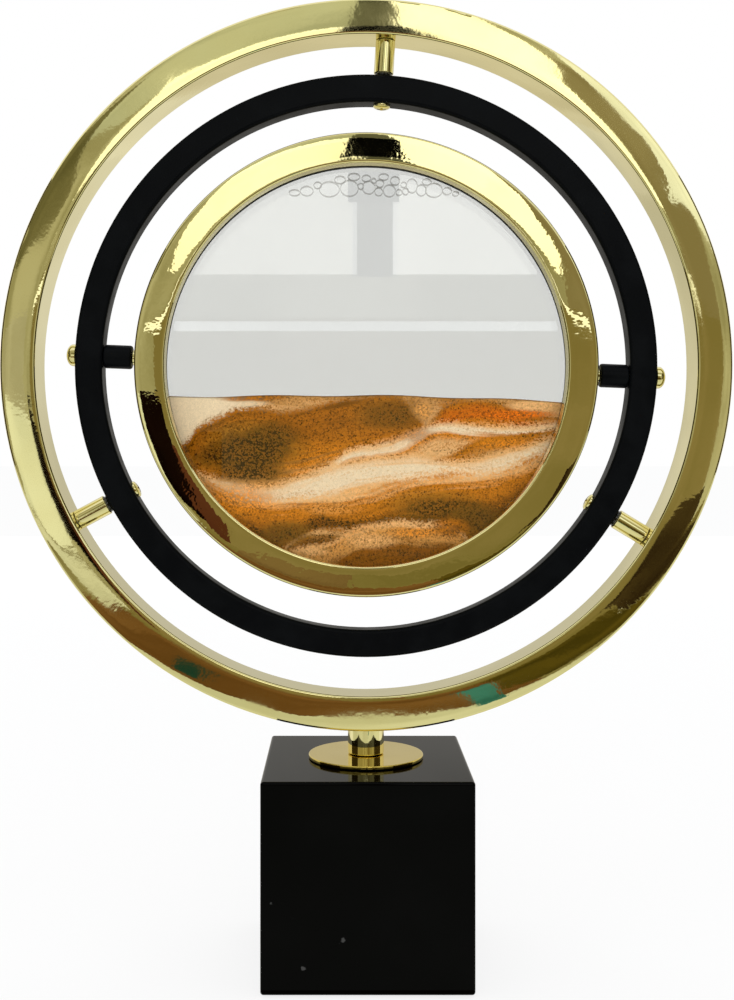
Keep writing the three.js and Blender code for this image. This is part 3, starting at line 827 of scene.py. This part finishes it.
def sandFinish(name):
    finish = newFinish(name)
    place = finish.place()
    x, z = finish.node("ShaderNodeSeparateXYZ", None, {0: place}, ("X", "Z"))
    across, up = x * millimetres, (z - ringCentre.z) * millimetres
    flat = finish.node("ShaderNodeCombineXYZ", None, {0: across, 1: up})
    cells = finish.cells(flat, sandGrain["size"], "Color")
    grain, grainTone = finish.node("ShaderNodeSeparateColor", None, {0: cells}, ("Red", "Green"))
    clump = finish.noise(flat, *sandGrain["clump"]) - 0.5
    cloud = finish.noise(flat, *sandGrain["mottle"]) - 0.5
    mottle = (grain - 0.5) * sandGrain["share"] + cloud * sandGrain["mottleShare"]
    long = finish.node("ShaderNodeVectorMath", {"operation": "MULTIPLY"}, {0: flat, 1: sandDrift["stretch"]})
    drift = (finish.noise(long, *sandDrift["swell"]) - 0.5) * sandDrift["height"]
    side, down = sandReach["side"], sandReach["down"]
    colour = None
    for index, layer in enumerate(sandLayers.values()):
        points = [((px + side) / (2 * side), (pz + down) / down) for px, pz in layer["line"]]
        line = finish.node("ShaderNodeFloatCurve", {"points": points}, {"Value": (across + side) / (2 * side)})
        below = line * down - down - up + drift
        along = finish.node("ShaderNodeCombineXYZ", None,
                            {0: across / sandStreak["length"], 1: below, 2: index * sandStreak["apart"]})
        streak = finish.noise(along, *sandStreak["swell"]) - 0.5     # lines that follow the layer
        sway = streak * layer["depth"] * sandStreak["sway"]
        depth = (below + sway + clump * sandStreak["clump"]) / layer["depth"]
        last = len(layer["shades"]) - 1
        stops = [(step / last, sandShades[shade]) for step, shade in enumerate(layer["shades"])]
        tone = finish.ramp(depth, stops)
        near, mid, far = layer["grains"]
        share = finish.fade(depth, 0, sandStreak["middle"], near, mid)
        share = share + finish.fade(depth, sandStreak["middle"], 1, 0, far - mid)
        grains = finish.fade(share + mottle * (share + sandGrain["scatter"]), *sandGrain["edges"])
        tone = finish.blend(grains, tone, opaque(sandShades["dark"]))
        shade, strength = layer["vein"]
        vein = finish.fade(streak + mottle * sandStreak["mottle"], *sandStreak["edges"]) * strength
        tone = finish.blend(vein, tone, opaque(sandShades[shade]))
        if colour is None:
            pocket = across + drift * sandPocket["drift"] + mottle * sandPocket["mottle"]
            colour = finish.blend(finish.fade(pocket, *sandPocket["edges"]), opaque(sandShades["cream"]), tone)
            continue
        soft = layer["soft"]
        mask = finish.fade(below + mottle * soft * sandStreak["ragged"], -soft, soft)
        colour = finish.blend(mask, colour, tone)
    for shade, (px, pz), (reachX, reachZ), strength in sandPatches:
        offX, offZ = (across - px) / reachX, (up - pz + drift * sandPatch["drift"]) / reachZ
        away = offX * offX + offZ * offZ + mottle * sandPatch["mottle"] + clump * sandPatch["clump"]
        gather = finish.fade(away, 0.0, sandPatch["end"], strength, 0.0)
        spread = sandSpread.get(shade, sandPatch["spread"])
        gather = finish.fade(gather * (1 + mottle * spread), 0.0, 1.0)
        colour = finish.blend(gather, colour, opaque(sandShades[shade]))
    top = across * sandTop["slope"] + sandTop["level"] * millimetres
    for rise, length, phase in sandTop["swells"]:
        top = top + (across * (2 * math.pi / length / millimetres) + phase).sine() * rise * millimetres
    # painted shade along the top of the sand
    crestShade = finish.fade(top - up, *sandCrestShade["edges"], sandCrestShade["strength"], 0.0)
    colour = finish.blend(crestShade, colour, opaque(sandCrestShade["colour"]))
    blue = finish.node("ShaderNodeSeparateColor", None, {0: colour}, "Blue")
    uneven = finish.fade(blue, *sandSpeckle["blue"], *sandSpeckle["strength"])       # least in pale sand
    speckle = sandSpeckle["least"] + grainTone * sandSpeckle["tone"] + mottle * uneven
    bright = finish.node("ShaderNodeVectorMath", {"operation": "SCALE"}, {0: colour, 3: speckle})
    normal = finish.bump(grain * sandGrain["reliefMetres"])
    return finish.close(finish.surface(colour=bright, rough=sandGrain["rough"], normal=normal,
                                       specular=sandGrain["specular"]))


sandGrains = sandFinish("sandGrains")
makeFill()

print("stage: bubbles")
bubbleFoam = {"film": 0.00014, "depth": 0.0017, "steps": 40, "filmSteps": 8}
bubbleList = [     # middle across and up from the rings' centre, and half width and height, in millimetres
    (-28.8, 70.2, 2.2, 1.2), (-23.8, 70.9, 2.6, 1.9), (-14.7, 71.6, 4.0, 3.0), (-6.6, 72, 3.6, 3.2),
    (-2, 72.8, 1.2, 1.2), (1.2, 72.3, 2.6, 2.6), (5.2, 70.6, 1.6, 1.6), (5.7, 73.9, 1.6, 1.5),
    (9.5, 71, 2.4, 2.4), (13.4, 70.3, 1.2, 1.2), (16, 70.7, 1.2, 1.3), (18.6, 73, 2.2, 2.8),
    (22.4, 71.2, 2.0, 2.2), (27.5, 71.2, 3.4, 2.8), (32.8, 70.9, 1.8, 1.4), (36.2, 69.8, 1.3, 0.9),
    (-19.4, 73.2, 1.6, 1.3), (-10.4, 75.4, 2.2, 1.5), (-4.8, 76.6, 2.4, 1.4), (0.2, 76, 1.8, 1.3),
    (7.2, 76.6, 2.0, 1.3), (11.8, 75, 1.9, 1.7), (15.2, 73.4, 1.1, 1.1), (24.6, 74.6, 1.8, 1.3),
    (3.2, 75, 1.0, 1.0),
]


def makeBubbles():
    parts = []
    for x, z, wide, high in bubbleList:
        spot = (x / millimetres, middle("liquid").y, ringCentre.z + z / millimetres)
        bpy.ops.object.select_all(action="DESELECT")
        bpy.ops.mesh.primitive_torus_add(
            major_radius=wide / millimetres, minor_radius=bubbleFoam["film"], location=spot,
            major_segments=bubbleFoam["steps"], minor_segments=bubbleFoam["filmSteps"],
            rotation=(math.radians(90), 0, 0),
        )
        bubble = bpy.context.object
        bubble.scale = (1, high / wide, bubbleFoam["depth"] / bubbleFoam["film"])
        parts.append(settle("bubble"))
    bpy.ops.object.select_all(action="DESELECT")
    for part in parts:
        part.select_set(True)
    bpy.context.view_layer.objects.active = parts[0]
    bpy.ops.object.join()
    foam = settle("bubbleFoam")
    smooth(foam)
    dress(foam, bubbleFilm, "sand_frame", "clear_liquid")
    foam.visible_glossy = False


makeBubbles()

print("stage: inner parts that stay as they are")
keptParts = {"base_pad": greyFelt, "base_washer": zincSteel, "base_bolt": zincSteel}
for node, finish in keptParts.items():
    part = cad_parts[node]
    part.data.materials.clear()
    part.data.materials.append(finish)

print("stage: floor and light")
floorLook = {"size": 40.0, "colour": (0.9, 0.9, 0.9), "rough": 0.9, "white": 0.8}
worldLook = {"light": (0.98, 0.99, 1.0), "strength": 1.0}


def seenDirectly(finish):            # camera, mirror and glass rays
    rays = finish.node("ShaderNodeLightPath", out=("Is Camera Ray", "Is Glossy Ray", "Is Transmission Ray"))
    return (rays[0] + rays[1] + rays[2]).least(1.0)


def makeFloor():
    bpy.ops.object.select_all(action="DESELECT")
    bpy.ops.mesh.primitive_plane_add(size=floorLook["size"], location=(0, 0, 0))
    floor = settle("floor")
    finish = newFinish("floorWhite")
    plain = finish.surface(colour=opaque(floorLook["colour"]), rough=floorLook["rough"], specular=0.0)
    glow = finish.node("ShaderNodeEmission", None, {"Color": plainWhite, "Strength": 1.0})
    share = seenDirectly(finish) * floorLook["white"]
    mixed = finish.node("ShaderNodeMixShader", None, {0: share, 1: plain, 2: glow})
    floor.data.materials.append(finish.close(mixed))


def makeWorld():
    world = bpy.data.worlds.new("studio")
    scene.world = world
    finish = Finish(world)
    light = {"Color": opaque(worldLook["light"]), "Strength": worldLook["strength"]}
    soft = finish.node("ShaderNodeBackground", None, light)
    white = finish.node("ShaderNodeBackground", None, {"Color": plainWhite, "Strength": 1.0})
    mixed = finish.node("ShaderNodeMixShader", None, {0: seenDirectly(finish), 1: soft, 2: white})
    finish.close(mixed, "ShaderNodeOutputWorld")


softBoxes = [      # name, middle, size, radiance, and whether polished metal shows it
    ("windowLeft", (-0.1375, -1.6, 0.65), (0.305, 0.3), 1.1, True),
    ("windowRight", (0.2075, -1.6, 0.875), (0.265, 0.75), 1.4, True),
    ("frontFill", (0, -2.6, 0.9), (2.0, 1.8), 1.2, False),
    ("backFill", (0, 2.6, 0.9), (2.0, 1.8), 1.0, False),
]


def makeLamps():
    for name, spot, (wide, high), radiance, shown in softBoxes:
        lean = math.copysign(math.radians(90), -spot[1])                            # it faces the object
        bpy.ops.object.light_add(type="AREA", location=spot, rotation=(lean, 0, 0))
        lamp = bpy.context.object
        lamp.name = name
        lamp.data.shape = "RECTANGLE"
        lamp.data.size, lamp.data.size_y = wide, high
        lamp.data.energy = radiance * math.pi * wide * high
        lamp.visible_camera = False
        lamp.visible_glossy = shown


upright, lying, sideways = (90, 0), (0, 0), (90, 90)                 # degrees about X and Z
nearBlack = ((0.001, 0.001, 0.001), (0.002, 0.002, 0.002))
cardCloud = {"swell": (0.3, 3.0), "edges": (0.35, 0.65)}
paintedReflectionCards = [    # glowing cards, no lamps, that paint reflections into polished metal and glass: name, middle, size, turn, two colours
    ("cardRoom", (0, -1.95, 1.3), (6.0, 2.6), upright, (0.36, 0.34, 0.21), (0.56, 0.54, 0.40)),
    ("cardWallTop", (-0.26, -1.92, 1.12), (0.6, 0.6), upright, (0.50, 0.52, 0.42), (0.66, 0.68, 0.56)),
    ("cardWallRight", (0.58, -1.92, 0.6), (0.36, 0.9), upright, (0.27, 0.225, 0.12), (0.34, 0.29, 0.17)),
    ("cardFarWindow", (0.97, -1.91, 1.05), (0.7, 0.7), upright, (1.0, 1.05, 1.1), (1.2, 1.25, 1.3)),
    ("cardFarPane", (0.575, -1.91, 1.13), (0.09, 0.54), upright, (1.0, 1.05, 1.1), (1.2, 1.25, 1.3)),
    ("cardMullion", (0.045, -1.63, 0.92), (0.075, 0.84), upright, (0.09, 0.09, 0.065), (0.14, 0.14, 0.1)),
    ("cardSill", (0.2, -1.9, 0.23), (1.1, 0.46), upright, (0.24, 0.195, 0.075), (0.30, 0.24, 0.11)),
    ("cardLedge", (0.05, -1.59, 0.412), (0.84, 0.016), upright, (1.3, 1.32, 1.3), (1.5, 1.52, 1.5)),
    ("cardShade", (-0.70, -1.89, 0.835), (0.4, 0.43), upright, (0.13, 0.12, 0.055), (0.23, 0.21, 0.11)),
    ("cardBand", (-0.74, -1.88, 0.37), (0.38, 0.16), upright, (0.44, 0.42, 0.32), (0.56, 0.54, 0.44)),
    ("cardPale", (-0.69, -1.87, 0.145), (0.4, 0.29), upright, (0.82, 0.86, 0.80), (0.98, 1.02, 0.96)),
    ("cardDark", (-0.385, -1.86, 0.185), (0.2, 0.25), upright, (0.002, 0.0006, 0.0004), (0.008, 0.003, 0.002)),
    ("cardRust", (-0.262, -1.86, 0.13), (0.05, 0.22), upright, (0.07, 0.02, 0.01), (0.12, 0.04, 0.02)),
    ("cardMullionDark", (0.042, -1.57, 0.70), (0.085, 0.17), upright, *nearBlack),
    ("cardSkirt", (0.62, -1.86, 0.06), (0.34, 0.13), upright, (0.025, 0.014, 0.006), (0.06, 0.04, 0.015)),
    ("cardFloor", (0, -0.66, 0.001), (6.0, 1.24), lying, (0.24, 0.21, 0.10), (0.36, 0.33, 0.18)),
    ("cardTable", (-0.09, -0.66, 0.002), (0.5, 1.24), lying, (0.14, 0.065, 0.018), (0.22, 0.11, 0.038)),
    ("cardNear", (0, -0.22, 0.003), (3.0, 0.48), lying, (0.66, 0.67, 0.56), (0.84, 0.86, 0.76)),
    ("cardFar", (0, -1.6, 0.002), (6.0, 0.64), lying, (0.20, 0.165, 0.055), (0.25, 0.205, 0.08)),
    ("cardFarBrown", (-0.1, -1.6, 0.003), (0.2, 0.62), lying, (0.16, 0.095, 0.04), (0.24, 0.16, 0.07)),
    ("cardFloorPale", (-0.58, -1.42, 0.003), (0.5, 0.62), lying, (0.7, 0.72, 0.64), (0.85, 0.87, 0.8)),
    ("cardShadow", (0.25, -0.93, 0.003), (0.25, 0.76), lying, (0.06, 0.045, 0.006), (0.11, 0.08, 0.012)),
    ("cardMaroon", (0.55, -1.35, 0.003), (0.34, 1.1), lying, (0.025, 0.014, 0.006), (0.06, 0.04, 0.015)),
    ("cardTealLeft", (-0.143, -0.63, 0.004), (0.036, 0.17), lying, (0.01, 0.05, 0.04), (0.03, 0.13, 0.11)),
    ("cardTealRight", (0.107, -0.57, 0.004), (0.026, 0.36), lying, (0.03, 0.15, 0.15), (0.06, 0.26, 0.28)),
    ("cardFloorBack", (0, 0.95, 0.002), (3.0, 1.5), lying, (0.66, 0.62, 0.53), (0.78, 0.74, 0.66)),
    ("cardSideLeft", (-1.0, -0.25, 0.45), (1.0, 0.9), sideways, (0.04, 0.03, 0.012), (0.08, 0.06, 0.025)),
    ("cardSideRight", (1.0, -0.25, 0.45), (1.0, 0.9), sideways, (0.04, 0.03, 0.012), (0.08, 0.06, 0.025)),
    ("cardBack", (0, 1.6, 0.7), (6.0, 1.4), upright, (0.62, 0.60, 0.56), (0.92, 0.90, 0.86)),
    ("cardBackLow", (0, 1.58, 0.42), (1.0, 0.6), upright, (0.60, 0.58, 0.53), (0.82, 0.80, 0.75)),
]


# each card glows only in reflections, a painted reflection rather than a lamp
def makePaintedReflections():
    for name, spot, (wide, high), (lean, turn), first, second in paintedReflectionCards:
        bpy.ops.object.select_all(action="DESELECT")
        bpy.ops.mesh.primitive_plane_add(size=1, location=spot,
                                         rotation=(math.radians(lean), 0, math.radians(turn)))
        card = bpy.context.object
        card.scale = (wide, high, 1)
        settle(name)
        finish = newFinish(name)
        cloud = finish.fade(finish.noise(finish.place(), *cardCloud["swell"]), *cardCloud["edges"])
        colour = finish.blend(cloud, opaque(first), opaque(second))
        glow = finish.node("ShaderNodeEmission", None, {"Color": colour, "Strength": 1.0})
        card.data.materials.append(finish.close(glow))
        card.visible_camera = card.visible_diffuse = False           # only glossy reflections show it: a painted reflection
        card.visible_shadow = card.visible_transmission = False


makeFloor()
makeWorld()
makeLamps()
makePaintedReflections()
